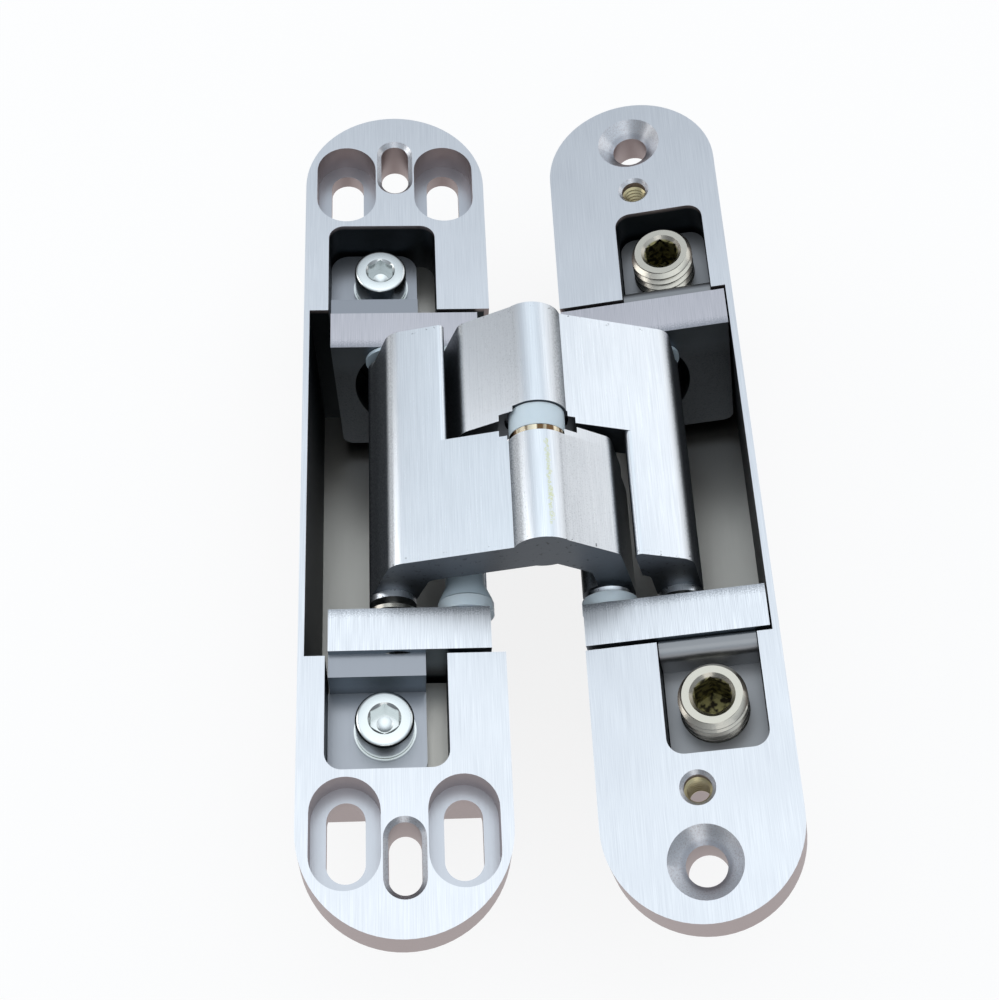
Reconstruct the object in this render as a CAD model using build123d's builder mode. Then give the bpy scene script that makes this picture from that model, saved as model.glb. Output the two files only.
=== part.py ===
from build123d import *
import os
from math import atan2, cos, degrees, hypot, radians, sin, sqrt, tan

os.makedirs("parts", exist_ok=True)

# Frame: X across the hinge, Y along the door edge, Z out of the faces. The origin is the middle of
# the frame body's face. All sizes in millimetres.

# Both bodies
body_length = 142.0
body_depth = 35.0
end_plate = 7.5
ledge_bottom = 18.0
floor_skin = 2.0
wall_draft = 1.2
window_corner = 2.5

# Along the door edge, from the end of a body towards its middle
end_overhang = 21.5
window_rim = 2.1
foot_play = 0.6
foot_reach = 13.6
strip_width = 3.6
cheek_width = 6.6
cheek_play = 0.7
deep_wall = 5.2
pin_inset = 2.0
clamp_inset = 7.4
jack_inset = 7.8

# Frame body
frame_width = 30.0
frame_wall = 0.9
frame_window_outer = -11.1
frame_window_inner = 6.5
frame_ledge = 11.4
centre_slot_inset = 11.0
centre_slot_length = 10.1
centre_slot_width = 4.6
centre_slot_chamfer = 0.7
side_slot_x = 8.2
side_slot_inset = 14.6
side_slot_length = 11.5
side_slot_width = 5.5
side_recess_length = 15.9
side_recess_width = 9.9
side_recess_depth = 5.0

# Door body
door_width = 28.0
door_depth = 35.8
door_wall = 1.0
door_window_outer = 10.75
door_window_inner = -3.65
door_ledge = 11.5
door_tilt = 13.5
door_centre_x = 40.2
screw_hole_inset = 8.3
screw_hole = 5.75
screw_head = 10.45
tapped_hole_inset = 18.65
tapped_hole = 4.0
tapped_chamfer = 0.55

# Brackets
cheek_depth = 29.8
frame_bar_outer = -10.7
frame_bar_inner = 13.0
frame_strip_drop = 1.2
frame_foot_inner = 3.4
frame_foot_top = 7.5
frame_foot = 3.8
door_bar_outer = 12.7
door_bar_inner = -13.9
steel_foot = 3.0
steel_foot_width = 14.1
steel_foot_bend = 1.6
steel_foot_top = 6.5
steel_leg_top = 0.9

# Fixings
clamp_x = -2.65
clamp_thread = 5.0
clamp_head = 8.5
clamp_head_height = 5.0
clamp_hex = 4.0
clamp_washer = 0.85
clamp_hex_depth = 2.5
clamp_bite = 5.0
side_travel = 1.8
side_play = 0.2
jack_x = 3.4
jack_thread = 10.0
jack_hex = 5.0
jack_journal = 5.0
jack_drop = 0.3
jack_chamfer = 0.65
jack_socket = 7.0
jack_rim = 0.8
jack_ledge = 4.0
jack_peen = 7.6
jack_peen_height = 1.0
jack_peen_space = 0.6

# Pivots in the pose of the photograph
knuckle = (20.4, 11.5)
pivot_x = 9.6
slide_x = -1.25
pivot_z = -3.6
closed_gap = 4.0
closed_shift = -0.6

# Arms
knuckle_cap = 3.0
knuckle_radius = 4.6
knuckle_gap = 2.5
hub_radius = 3.4
lug_radius = 4.0
plate_rise = 15.6
plate_above = 2.5
plate_below = 4.1
lug_fall = 30.6
lug_above = 4.45
lug_below = 2.4
leg_lean = 16.2
lug_leg = 5.0
stub_reach = 9.3
outer_round = 3.2
inner_round = 1.5

# Pins and bushes
knuckle_pin_size = 4.4
pivot_pin_size = 4.4
slide_pin_size = 3.4
slider_size = 5.0
collar_size = 8.4
boss_root = 6.7
boss_tip = 5.6
boss_length = 1.0
hub_boss = 7.0
slide_washer_size = 7.8
slide_washer = 0.6
ring_width = 1.0
collar_width = 1.8
fit_gap = 0.03
slide_gap = 0.05
side_gap = 0.1

# Places along the door edge that follow from these
body_end = body_length / 2
mid_half_length = body_end - end_overhang
window_end = mid_half_length - window_rim
foot_end = window_end - foot_play
strip_end = foot_end - foot_reach
cheek_outer = strip_end - strip_width
cheek_inner = cheek_outer - cheek_width
tongue_end = cheek_outer + cheek_play
deep_half_length = tongue_end + deep_wall
pin_end = cheek_outer - pin_inset
clamp_y = foot_end - clamp_inset
jack_y = foot_end - jack_inset
centre_slot_y = body_end - centre_slot_inset
side_slot_y = body_end - side_slot_inset
screw_hole_y = body_end - screw_hole_inset
tapped_hole_y = body_end - tapped_hole_inset
boss_end = cheek_inner - collar_width - 2 * side_gap
arm_half_length = boss_end - boss_length


def turned(point, angle, about=(0, 0)):
    a = radians(angle)
    x = point[0] - about[0]
    z = point[1] - about[1]
    return (about[0] + x * cos(a) - z * sin(a), about[1] + x * sin(a) + z * cos(a))


def moved(point, angle, distance):
    return (point[0] + distance * cos(radians(angle)), point[1] + distance * sin(radians(angle)))


def heading(start, end):
    return degrees(atan2(end[1] - start[1], end[0] - start[0]))


def spacing(start, end):
    return hypot(end[0] - start[0], end[1] - start[1])


def crossing(first, first_angle, second, second_angle):
    a = radians(first_angle)
    b = radians(second_angle)
    x = second[0] - first[0]
    z = second[1] - first[1]
    step = (x * sin(b) - z * cos(b)) / sin(b - a)
    return moved(first, first_angle, step)


def across(y):
    return Plane.XZ.offset(-y)


# The door body lies with its inner bottom edge on the floor that the frame body stands on
taper_in = (door_depth - end_plate) * tan(radians(wall_draft))
low_edge = (-door_width / 2 + taper_in, -door_depth)
door_centre = (door_centre_x, -body_depth - turned(low_edge, door_tilt)[1])

# Pivot points, mirrored about the knuckle
frame_pivot = (pivot_x, pivot_z)
frame_slide = (slide_x, pivot_z)
door_pivot = (2 * knuckle[0] - pivot_x, pivot_z)
door_slide = (2 * knuckle[0] - slide_x, pivot_z)


def in_door(point):
    return turned((point[0] - door_centre[0], point[1] - door_centre[1]), -door_tilt)


# Closed pose: the two faces look at each other across the door gap
door_pivot_own = in_door(door_pivot)
closed_pivot = (closed_shift - door_pivot_own[0], closed_gap - door_pivot_own[1])
reach = spacing(frame_pivot, closed_pivot)
link = spacing(frame_pivot, knuckle)
closed_middle = ((frame_pivot[0] + closed_pivot[0]) / 2, (frame_pivot[1] + closed_pivot[1]) / 2)
closed_knuckle = moved(
    closed_middle, heading(frame_pivot, closed_pivot) + 90, sqrt(link**2 - reach**2 / 4)
)
door_arm_turn = heading(frame_pivot, closed_knuckle) - heading(frame_pivot, knuckle)
frame_arm_turn = (heading(closed_pivot, closed_knuckle) - heading(door_pivot, knuckle)) % 360
door_turn = 180 - door_tilt
open_share = -door_tilt / door_turn


def folded(share):
    """Knuckle, frame slide point and the door's own slide point at a share of the fold."""
    first = door_arm_turn * share
    second = frame_arm_turn * share
    joint = turned(knuckle, first, frame_pivot)
    slide = turned((frame_slide[0] - knuckle[0], frame_slide[1] - knuckle[1]), second)
    pivot = turned((door_pivot[0] - knuckle[0], door_pivot[1] - knuckle[1]), second)
    other = turned((door_slide[0] - knuckle[0], door_slide[1] - knuckle[1]), first)
    seen = turned((other[0] - pivot[0], other[1] - pivot[1]), -door_tilt - door_turn * share)
    own = (door_pivot_own[0] + seen[0], door_pivot_own[1] + seen[1])
    return joint, (joint[0] + slide[0], joint[1] + slide[1]), own


def slide_slot(which, steps=6):
    """Curved slot that the slider of one arm follows, as a closed line in the XZ plane."""
    shares = [open_share + (1 - open_share) * n / steps for n in range(steps + 1)]
    half = slider_size / 2 + slide_gap
    left = []
    right = []
    for share in shares:
        here = folded(share)[which]
        ahead = heading(folded(share - 0.01)[which], folded(share + 0.01)[which])
        left.append(moved(here, ahead + 90, half))
        right.append(moved(here, ahead - 90, half))
        if share == shares[0]:
            start = moved(here, ahead + 180, half)
    finish = moved(here, ahead, half)
    Spline(*left)
    ThreePointArc(left[-1], finish, right[-1])
    Spline(*reversed(right))
    ThreePointArc(right[0], start, left[0])


def body_block(width, depth):
    """Round-ended plate with a shallower middle and a deep box under it."""
    with BuildSketch(Plane.XY) as plate:
        SlotOverall(body_length, width, rotation=90)
    extrude(plate.sketch, amount=-end_plate)
    with BuildSketch(Plane.XY.offset(-end_plate)) as middle:
        Rectangle(width, 2 * mid_half_length)
    extrude(middle.sketch, amount=end_plate - ledge_bottom, taper=wall_draft)
    with BuildSketch(Plane.XY.offset(-end_plate)) as deep:
        Rectangle(width, 2 * deep_half_length)
    extrude(deep.sketch, amount=end_plate - depth, taper=wall_draft)


def body_pocket(half_width, depth, outer, wall, window, ledge):
    """Pocket open on the inner side, and the window over the two ledges."""
    lean = depth * tan(radians(wall_draft))
    with BuildSketch(Plane.XZ) as pocket:
        with BuildLine():
            Polyline(
                (outer * (half_width - wall), 1),
                (outer * (half_width - wall), 0),
                (outer * (half_width - wall - lean), floor_skin - depth),
                (-outer * (half_width + 1), floor_skin - depth),
                (-outer * (half_width + 1), 1),
                close=True,
            )
        make_face()
    extrude(pocket.sketch, amount=tongue_end, both=True, mode=Mode.SUBTRACT)
    with BuildSketch(Plane.XY) as opening:
        with Locations((sum(window) / 2, 0)):
            RectangleRounded(abs(window[1] - window[0]), 2 * window_end, window_corner)
    extrude(opening.sketch, amount=-ledge, mode=Mode.SUBTRACT)


# FRAME BODY
with BuildPart() as frame_housing:
    body_block(frame_width, body_depth)
    body_pocket(
        frame_width / 2,
        body_depth,
        -1,
        frame_wall,
        (frame_window_outer, frame_window_inner),
        frame_ledge,
    )
    with BuildSketch(Plane.XY):
        with Locations((0, centre_slot_y), (0, -centre_slot_y)):
            SlotOverall(centre_slot_length, centre_slot_width, rotation=90)
        with GridLocations(2 * side_slot_x, 2 * side_slot_y, 2, 2):
            SlotOverall(side_slot_length, side_slot_width, rotation=90)
    extrude(amount=-end_plate, mode=Mode.SUBTRACT)
    with BuildSketch(Plane.XY):
        with GridLocations(2 * side_slot_x, 2 * side_slot_y, 2, 2):
            SlotOverall(side_recess_length, side_recess_width, rotation=90)
    extrude(amount=-side_recess_depth, mode=Mode.SUBTRACT)
    with BuildSketch(Plane.XY):
        with Locations((0, centre_slot_y), (0, -centre_slot_y)):
            SlotOverall(
                centre_slot_length + 2 * centre_slot_chamfer,
                centre_slot_width + 2 * centre_slot_chamfer,
                rotation=90,
            )
    extrude(amount=-centre_slot_chamfer, taper=45, mode=Mode.SUBTRACT)
    with Locations((clamp_x, clamp_y, -frame_ledge), (clamp_x, -clamp_y, -frame_ledge)):
        Hole(clamp_thread / 2 + fit_gap, depth=ledge_bottom)

# DOOR BODY
with BuildPart() as door_housing:
    body_block(door_width, door_depth)
    body_pocket(
        door_width / 2,
        door_depth,
        1,
        door_wall,
        (door_window_outer, door_window_inner),
        door_ledge,
    )
    with Locations((0, screw_hole_y), (0, -screw_hole_y)):
        CounterSinkHole(screw_hole / 2, screw_head / 2, counter_sink_angle=90)
    with Locations((0, tapped_hole_y), (0, -tapped_hole_y)):
        CounterSinkHole(tapped_hole / 2, tapped_hole / 2 + tapped_chamfer, counter_sink_angle=90)
    with Locations((jack_x, jack_y, -door_ledge), (jack_x, -jack_y, -door_ledge)):
        Hole(jack_journal / 2 + slide_gap, depth=ledge_bottom)
    with BuildSketch(Plane.XY.offset(-door_ledge - jack_ledge)):
        with Locations((jack_x, jack_y), (jack_x, -jack_y)):
            Circle(jack_peen / 2 + jack_peen_space)
    extrude(amount=-ledge_bottom, mode=Mode.SUBTRACT)

# FRAME BRACKETS
foot_slot = clamp_thread + 2 * side_play
frame_slot_low = folded(1)[1]
with BuildPart() as frame_near_bracket:
    with BuildSketch(across(-cheek_inner)) as frame_cheek:
        with BuildLine():
            Polyline(
                (frame_bar_outer, 0),
                (frame_bar_inner, 0),
                (frame_bar_inner, 2 * pivot_z),
                (frame_slot_low[0] + slider_size + 1, frame_slot_low[1] + slider_size),
                (frame_slot_low[0] + slider_size, -cheek_depth),
                (frame_bar_outer + 1, -cheek_depth),
                close=True,
            )
        make_face()
        fillet(frame_cheek.vertices().sort_by(Axis.Y)[:2], 2)
    extrude(amount=cheek_outer - cheek_inner)
    with BuildSketch(across(-cheek_outer)):
        with Locations((frame_bar_outer, -frame_strip_drop)):
            Rectangle(
                frame_foot_inner - frame_bar_outer,
                frame_foot_top + frame_foot - frame_strip_drop,
                align=(Align.MIN, Align.MAX),
            )
    extrude(amount=strip_end - cheek_outer)
    with BuildSketch(Plane.XY.offset(-frame_foot_top)) as frame_foot_outline:
        with Locations((frame_bar_outer - 0.3, -strip_end)):
            Rectangle(
                frame_foot_inner - frame_bar_outer + 0.3,
                foot_end - strip_end,
                align=(Align.MIN, Align.MAX),
            )
        fillet(frame_foot_outline.vertices().sort_by(Axis.Y)[:2], 3)
    extrude(amount=-frame_foot)
    with BuildSketch(Plane.XY.offset(-frame_foot_top)):
        with Locations((clamp_x - side_travel / 2, -clamp_y)):
            SlotOverall(side_travel + foot_slot, foot_slot)
    extrude(amount=-frame_foot, mode=Mode.SUBTRACT)
    with BuildSketch(across(-cheek_inner)):
        with Locations(frame_pivot):
            Circle(pivot_pin_size / 2 + fit_gap)
        with BuildLine():
            slide_slot(1)
        make_face()
    extrude(amount=cheek_outer - cheek_inner + 0.1, mode=Mode.SUBTRACT)
frame_far_bracket = mirror(frame_near_bracket.part, about=Plane.XZ)

# DOOR BRACKETS, drawn in the door body's own frame
door_slot_low = folded(1)[2]
with BuildPart() as door_near_bracket:
    with BuildSketch(across(-cheek_inner)) as door_cheek:
        with BuildLine():
            Polyline(
                (door_bar_inner, 0),
                (door_bar_outer, 0),
                (door_bar_outer - 1, -cheek_depth),
                (door_slot_low[0] - slider_size, -cheek_depth),
                (door_slot_low[0] - slider_size - 1, door_slot_low[1] + slider_size),
                (door_bar_inner, 2 * door_pivot_own[1]),
                close=True,
            )
        make_face()
        fillet(door_cheek.vertices().sort_by(Axis.Y)[:2], 2)
    extrude(amount=cheek_outer - cheek_inner)
    with BuildSketch(across(-cheek_inner)):
        with Locations(door_pivot_own):
            Circle(pivot_pin_size / 2 + fit_gap)
        with BuildLine():
            slide_slot(2)
        make_face()
    extrude(amount=cheek_outer - cheek_inner + 0.1, mode=Mode.SUBTRACT)
door_far_bracket = mirror(door_near_bracket.part, about=Plane.XZ)

with BuildPart() as door_near_foot:
    with BuildSketch(Plane.YZ.offset((door_window_outer + door_window_inner) / 2)) as foot_bend:
        with BuildLine():
            Polyline(
                (-cheek_outer, -steel_leg_top),
                (-cheek_outer, -steel_foot_top - steel_foot),
                (-foot_end, -steel_foot_top - steel_foot),
                (-foot_end, -steel_foot_top),
                (-cheek_outer - steel_foot, -steel_foot_top),
                (-cheek_outer - steel_foot, -steel_leg_top),
                close=True,
            )
        make_face()
        fillet(foot_bend.vertices().group_by(Axis.Y)[-1].sort_by(Axis.X)[0], steel_foot_bend)
        fillet(foot_bend.vertices().group_by(Axis.X)[-1], 0.6)
    extrude(amount=steel_foot_width / 2, both=True)
    fillet(door_near_foot.edges().filter_by(Axis.Z).group_by(Axis.Y)[0], window_corner)
    with BuildSketch(Plane.XY):
        with Locations((jack_x, -jack_y)):
            Circle(jack_thread / 2 + slide_gap)
    extrude(amount=-body_depth / 2, mode=Mode.SUBTRACT)
door_far_foot = mirror(door_near_foot.part, about=Plane.XZ)

# CLAMP SCREWS AND THEIR WASHERS
clamp_top = -frame_foot_top + clamp_washer + clamp_head_height
with BuildPart() as frame_near_clamp_screw:
    with BuildSketch(Plane.XY.offset(clamp_top)):
        with Locations((clamp_x, -clamp_y)):
            Circle(clamp_head / 2)
    extrude(amount=-clamp_head_height)
    chamfer(frame_near_clamp_screw.edges().sort_by(Axis.Z)[-1], 0.4)
    with BuildSketch(Plane.XY.offset(clamp_top - clamp_head_height)):
        with Locations((clamp_x, -clamp_y)):
            Circle(clamp_thread / 2)
    extrude(amount=clamp_head_height - clamp_top - frame_ledge - clamp_bite)
    with BuildSketch(Plane.XY.offset(clamp_top)):
        with Locations((clamp_x, -clamp_y)):
            RegularPolygon(clamp_hex / 2, 6, major_radius=False)
    extrude(amount=-clamp_hex_depth, mode=Mode.SUBTRACT)
frame_far_clamp_screw = mirror(frame_near_clamp_screw.part, about=Plane.XZ)

with BuildPart() as frame_near_washer:
    with BuildSketch(Plane.XY.offset(-frame_foot_top)):
        with Locations((clamp_x, -clamp_y)):
            Circle(clamp_head / 2 + 0.3)
            Circle(clamp_thread / 2 + slide_gap, mode=Mode.SUBTRACT)
    extrude(amount=clamp_washer)
frame_far_washer = mirror(frame_near_washer.part, about=Plane.XZ)

# JACK SCREWS, in the door body's own frame, each peened over under the ledge that it turns in
with BuildPart() as door_near_jack_screw:
    with BuildSketch(Plane.XY.offset(-jack_drop)):
        with Locations((jack_x, -jack_y)):
            Circle(jack_thread / 2)
    extrude(amount=jack_drop - door_ledge)
    chamfer(door_near_jack_screw.edges().sort_by(Axis.Z)[-1], jack_chamfer)
    with BuildSketch(Plane.XY.offset(-door_ledge)):
        with Locations((jack_x, -jack_y)):
            Circle(jack_journal / 2)
    extrude(amount=-jack_ledge)
    with BuildSketch(Plane.XY.offset(-door_ledge - jack_ledge - side_gap)):
        with Locations((jack_x, -jack_y)):
            Circle(jack_journal / 2)
    extrude(amount=side_gap)
    with BuildSketch(Plane.XY.offset(-door_ledge - jack_ledge - side_gap)):
        with Locations((jack_x, -jack_y)):
            Circle(jack_peen / 2)
    extrude(amount=-jack_peen_height)
    with BuildSketch(Plane.XY.offset(-jack_drop)):
        with Locations((jack_x, -jack_y)):
            RegularPolygon(jack_hex / 2, 6, major_radius=False)
    extrude(amount=-jack_socket, mode=Mode.SUBTRACT)
    with BuildSketch(Plane.XY.offset(-jack_drop)):
        with Locations((jack_x, -jack_y)):
            Circle(jack_hex / 2 + jack_rim)
    extrude(amount=-jack_rim, taper=45, mode=Mode.SUBTRACT)
door_far_jack_screw = mirror(door_near_jack_screw.part, about=Plane.XZ)

# ARMS: two equal castings, the second turned half round about the knuckle
plate_line = moved(knuckle, plate_rise + 90, plate_above)
plate_under = moved(knuckle, plate_rise - 90, plate_below)
lug_line = moved(knuckle, 90 - lug_fall, lug_above)
lug_under = moved(knuckle, -90 - lug_fall, lug_below)
leg_up = 90 - leg_lean
hub_outer = moved(frame_slide, leg_up + 90, hub_radius)
hub_inner = moved(frame_slide, leg_up - 90, hub_radius)
lug_up = 90 + leg_lean
lug_outer = moved(door_pivot, lug_up - 90, lug_radius)
shoulder = crossing(hub_outer, leg_up, plate_line, plate_rise)
armpit = crossing(hub_inner, leg_up, plate_under, plate_rise)
lug_corner = crossing(lug_outer, lug_up, lug_line, -lug_fall)
lug_flank = moved(lug_outer, lug_up + 90, lug_leg)
lug_armpit = crossing(lug_flank, lug_up, lug_under, -lug_fall)
stub_top = moved(shoulder, plate_rise, stub_reach)
stub_low = crossing(stub_top, leg_up, plate_under, plate_rise)


def round_corner(profile, corner, radius):
    fillet(profile.vertices().sort_by_distance((corner[0], corner[1], 0))[0], radius)


with BuildPart() as frame_arm:
    with BuildSketch(across(-knuckle_gap)) as arm_profile:
        with BuildLine():
            Polyline(
                frame_slide,
                hub_outer,
                shoulder,
                plate_line,
                lug_line,
                lug_corner,
                lug_outer,
                door_pivot,
                lug_flank,
                lug_armpit,
                lug_under,
                plate_under,
                armpit,
                hub_inner,
                close=True,
            )
        make_face()
        round_corner(arm_profile, shoulder, outer_round)
        round_corner(arm_profile, lug_corner, outer_round - 0.8)
        round_corner(arm_profile, armpit, inner_round)
        round_corner(arm_profile, lug_armpit, inner_round)
        with Locations(frame_slide):
            Circle(hub_radius)
        with Locations(door_pivot):
            Circle(lug_radius)
        with Locations(knuckle):
            Circle(knuckle_radius)
    extrude(amount=arm_half_length - knuckle_gap)
    with BuildSketch(across(arm_half_length)) as column_profile:
        with BuildLine():
            Polyline(
                frame_slide, hub_outer, shoulder, stub_top, stub_low, armpit, hub_inner, close=True
            )
        make_face()
        round_corner(column_profile, shoulder, outer_round)
        round_corner(column_profile, armpit, inner_round)
        round_corner(column_profile, stub_top, 0.8)
        with Locations(frame_slide):
            Circle(hub_radius)
    extrude(amount=2 * arm_half_length)
    with BuildSketch(across(boss_end)):
        with Locations(frame_slide):
            Circle(hub_boss / 2)
    extrude(amount=2 * boss_end)
    with BuildSketch(across(-arm_half_length)):
        with Locations(door_pivot):
            Circle(boss_root / 2)
    extrude(amount=boss_length, taper=degrees(atan2((boss_root - boss_tip) / 2, boss_length)))
    with BuildSketch(across(boss_end)):
        with Locations(frame_slide):
            Circle(slide_pin_size / 2 + fit_gap)
    extrude(amount=2 * boss_end, mode=Mode.SUBTRACT)
    with BuildSketch(across(0)):
        with Locations(door_pivot):
            Circle(pivot_pin_size / 2 + fit_gap)
    extrude(amount=boss_end, mode=Mode.SUBTRACT)
    with BuildSketch(across(0)):
        with Locations(knuckle):
            Circle(knuckle_pin_size / 2 + fit_gap)
    extrude(amount=arm_half_length - knuckle_cap, mode=Mode.SUBTRACT)
half_turn = Location((2 * knuckle[0], 0, 0), (0, 0, 180))
door_arm = half_turn * frame_arm.part


# KNUCKLE PIN, BUSH AND RING
def tube(name, centre, start, length, outer, inner):
    with BuildPart() as piece:
        with BuildSketch(across(start)):
            with Locations(centre):
                Circle(outer / 2)
                if inner:
                    Circle(inner / 2, mode=Mode.SUBTRACT)
        extrude(amount=-length)
    pieces[name] = piece.part


pieces = {}
pin_reach = arm_half_length - knuckle_cap - side_gap
tube("knuckle_pin", knuckle, -pin_reach, 2 * pin_reach, knuckle_pin_size, 0)
knuckle_bore = knuckle_pin_size + 2 * fit_gap
tube(
    "knuckle_ring",
    knuckle,
    side_gap - knuckle_gap,
    ring_width,
    collar_size,
    knuckle_bore,
)
tube(
    "knuckle_bush",
    knuckle,
    2 * side_gap - knuckle_gap + ring_width,
    2 * knuckle_gap - ring_width - 3 * side_gap,
    collar_size,
    knuckle_bore,
)

# FIXED PINS, COLLARS AND SLEEVES, drawn for the frame side and turned half round for the door side
collar_start = boss_end + side_gap
pivot_bore = pivot_pin_size + 2 * fit_gap
slide_bore = slide_pin_size + 2 * fit_gap
for side, pivot, slide, way in (
    ("frame", frame_pivot, frame_slide, 1),
    ("door", door_pivot, door_slide, -1),
):
    tube(side + "_pivot_pin", pivot, -pin_end, 2 * pin_end, pivot_pin_size, 0)
    tube(side + "_slide_pin", slide, -pin_end, 2 * pin_end, slide_pin_size, 0)
    for end, start in (
        ("near", -collar_start - collar_width),
        ("far", collar_start),
    ):
        tube(side + "_" + end + "_collar", pivot, start, collar_width, collar_size, pivot_bore)
    for end, start in (
        ("near", -cheek_inner + side_gap),
        ("far", cheek_inner - side_gap - slide_washer),
    ):
        tube(
            side + "_" + end + "_slide_washer",
            slide,
            start,
            slide_washer,
            slide_washer_size,
            slide_bore,
        )
    for end, start in (
        ("near", -pin_end + side_gap),
        ("far", cheek_inner + side_gap),
    ):
        tube(
            side + "_" + end + "_slider",
            slide,
            start,
            pin_end - cheek_inner - 2 * side_gap,
            slider_size,
            slide_bore,
        )
    sleeve_length = boss_end + knuckle_gap - 2 * side_gap
    sleeve_tip = -way * (boss_end - side_gap)
    with BuildPart() as sleeve:
        with BuildSketch(across(sleeve_tip)):
            with Locations(pivot):
                Circle(boss_root / 2)
                Circle(pivot_bore / 2, mode=Mode.SUBTRACT)
        extrude(amount=-way * sleeve_length)
        rims = sleeve.edges().filter_by(GeomType.CIRCLE).sort_by(Axis.Y)
        outer_rims = (rims[:2] if way > 0 else rims[-2:]).sort_by(SortBy.RADIUS)
        chamfer(outer_rims[-1], (boss_root - boss_tip) / 2)
    pieces[side + "_pin_sleeve"] = sleeve.part

# The door's own pieces are set in place at the tilt of the photograph
door_place = Location((door_centre[0], 0, door_centre[1]), (0, -door_tilt, 0))
pieces["frame_housing"] = frame_housing.part
pieces["frame_near_bracket"] = frame_near_bracket.part
pieces["frame_far_bracket"] = frame_far_bracket
pieces["frame_near_clamp_screw"] = frame_near_clamp_screw.part
pieces["frame_far_clamp_screw"] = frame_far_clamp_screw
pieces["frame_near_washer"] = frame_near_washer.part
pieces["frame_far_washer"] = frame_far_washer
pieces["frame_arm"] = frame_arm.part
pieces["door_arm"] = door_arm
pieces["door_housing"] = door_place * door_housing.part
pieces["door_near_bracket"] = door_place * door_near_bracket.part
pieces["door_far_bracket"] = door_place * door_far_bracket
pieces["door_near_foot"] = door_place * door_near_foot.part
pieces["door_far_foot"] = door_place * door_far_foot
pieces["door_near_jack_screw"] = door_place * door_near_jack_screw.part
pieces["door_far_jack_screw"] = door_place * door_far_jack_screw

for name, piece in pieces.items():
    piece.label = name
    export_step(piece, "parts/" + name + ".step")
    print(name, round(piece.volume, 1))
print("arm turns", round(door_arm_turn, 4), round(frame_arm_turn, 4), "door turn", door_turn)
print("pivots", frame_pivot, frame_slide, door_pivot, door_slide, "door centre", door_centre)
print("closed", closed_knuckle, closed_pivot, folded(1))
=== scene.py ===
import math

import bpy
from mathutils import Matrix, Vector


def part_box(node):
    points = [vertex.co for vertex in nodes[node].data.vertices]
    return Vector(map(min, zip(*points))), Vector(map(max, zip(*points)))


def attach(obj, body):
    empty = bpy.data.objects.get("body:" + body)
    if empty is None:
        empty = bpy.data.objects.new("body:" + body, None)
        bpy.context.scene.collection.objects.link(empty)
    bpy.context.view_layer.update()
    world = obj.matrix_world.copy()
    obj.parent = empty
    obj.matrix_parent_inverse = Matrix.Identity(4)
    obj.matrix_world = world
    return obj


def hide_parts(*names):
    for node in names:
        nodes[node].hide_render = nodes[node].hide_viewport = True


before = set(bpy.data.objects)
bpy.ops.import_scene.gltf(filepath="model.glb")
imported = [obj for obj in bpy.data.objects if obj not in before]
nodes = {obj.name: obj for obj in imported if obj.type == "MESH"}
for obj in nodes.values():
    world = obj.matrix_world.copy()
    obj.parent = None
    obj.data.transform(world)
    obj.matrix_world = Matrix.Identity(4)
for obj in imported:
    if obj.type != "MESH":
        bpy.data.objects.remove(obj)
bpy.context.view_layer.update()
mm = 0.001
doorTilt = 13.5
print("frame loaded")


# turns a paint-chart hex into the linear colour a shader wants
def fromHex(text):
    parts = [int(text[i : i + 2], 16) / 255 for i in (0, 2, 4)]
    line = [p / 12.92 if p <= 0.04045 else ((p + 0.055) / 1.055) ** 2.4 for p in parts]
    return (*line, 1.0)


# adds a node, sets its properties and sockets, and links what is handed in as a socket
def addNode(tree, kind, values=None, **settings):
    node = tree.nodes.new(kind)
    for name, value in settings.items():
        setattr(node, name, value)
    for name, value in (values or {}).items():
        if isinstance(value, bpy.types.NodeSocket):
            tree.links.new(value, node.inputs[name])
        else:
            node.inputs[name].default_value = value
    return node


def newMaterial(name, values):
    material = bpy.data.materials.new(name)
    material.use_nodes = True
    tree = material.node_tree
    tree.nodes.clear()
    shader = addNode(tree, "ShaderNodeBsdfPrincipled", values)
    addNode(tree, "ShaderNodeOutputMaterial", {"Surface": shader.outputs["BSDF"]})
    return material, tree, shader


def shaderOf(material):
    return [n for n in material.node_tree.nodes if n.type == "BSDF_PRINCIPLED"][0]


# Cast zinc, linished along its length and satin chrome plated. The eye sees near-white faces with
# fine straight strokes and grainy darker bends where the belt ran out; walls take a darker tone,
# partly a pinkish cast skin and partly painted shade, recesses get painted shade, and inside the
# pockets the dull floor and nearly black walls are painted shade.
zincLooks = {
    "body": {
        "bright": "E0E2E5",
        "dull": "CFD1D5",
        "wall": "A99C9B",
        "strokeAndSunkShade": "B9BCC2",
        "pitShadeFloor": "ABA8A2",
        "pitShadeWall": "2B3034",
        "sunkShadeFrom": 1.5,
        "pitShadeFrom": 0.2,
        "pitShadeRun": 0.8,
        "ramp": (0.45, 0.72),
        "rough": (0.42, 0.24),
    },
    "arm": {
        "bright": "F0F3F6",
        "dull": "DEE2E6",
        "wall": "565B61",
        "strokeAndSunkShade": "C4C9CE",
        "pitShadeFloor": "9A9894",
        "pitShadeWall": "3E4248",
        "sunkShadeFrom": 30,
        "pitShadeFrom": 35,
        "pitShadeRun": 3.5,
        "ramp": (0.30, 0.80),
        "rough": (0.36, 0.22),
    },
    "bracket": {
        "bright": "EEF0F3",
        "dull": "DFE1E5",
        "wall": "6F7B85",
        "strokeAndSunkShade": "94979D",
        "pitShadeFloor": "A3A6AC",
        "pitShadeWall": "33393F",
        "sunkShadeFrom": 0.5,
        "pitShadeFrom": 5.0,
        "pitShadeRun": 3.5,
        "ramp": (0.40, 0.70),
        "rough": (0.34, 0.24),
    },
}
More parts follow.
